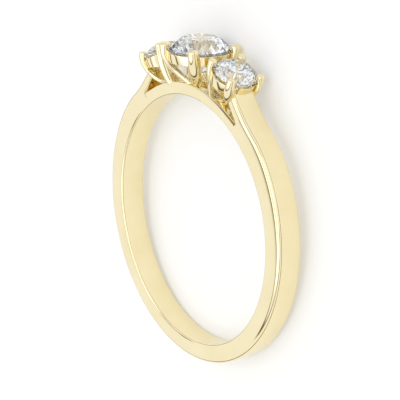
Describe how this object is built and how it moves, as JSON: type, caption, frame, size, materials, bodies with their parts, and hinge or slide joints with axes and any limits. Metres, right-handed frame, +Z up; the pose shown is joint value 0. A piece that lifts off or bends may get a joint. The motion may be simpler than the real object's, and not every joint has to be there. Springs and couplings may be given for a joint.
{
  "type": "three-stone ring",
  "caption": "Slim yellow-gold ring lying on its side, with split shoulders and claw heads that hold a raised centre brilliant between smaller brilliants leaning outwards.",
  "frame": {"origin": "centre of the finger hole", "axes": "+Z up from the surface that the ring lies on, +Y towards the centre stone, +X towards the right stone; the hole's axis leans about 3 degrees from +Z, as the ring rests on two prongs and the band's lower edge"},
  "size_m": [0.0194, 0.0215, 0.004],
  "materials": {
    "gold": "polished pale yellow gold",
    "centre_diamond": "clear and faceted",
    "side_diamond": "clear and faceted"
  },
  "bodies": {
    "root": {"ring_mount": "gold", "centre_stone": "centre_diamond", "right_stone": "side_diamond", "left_stone": "side_diamond"}
  },
  "joints": []
}
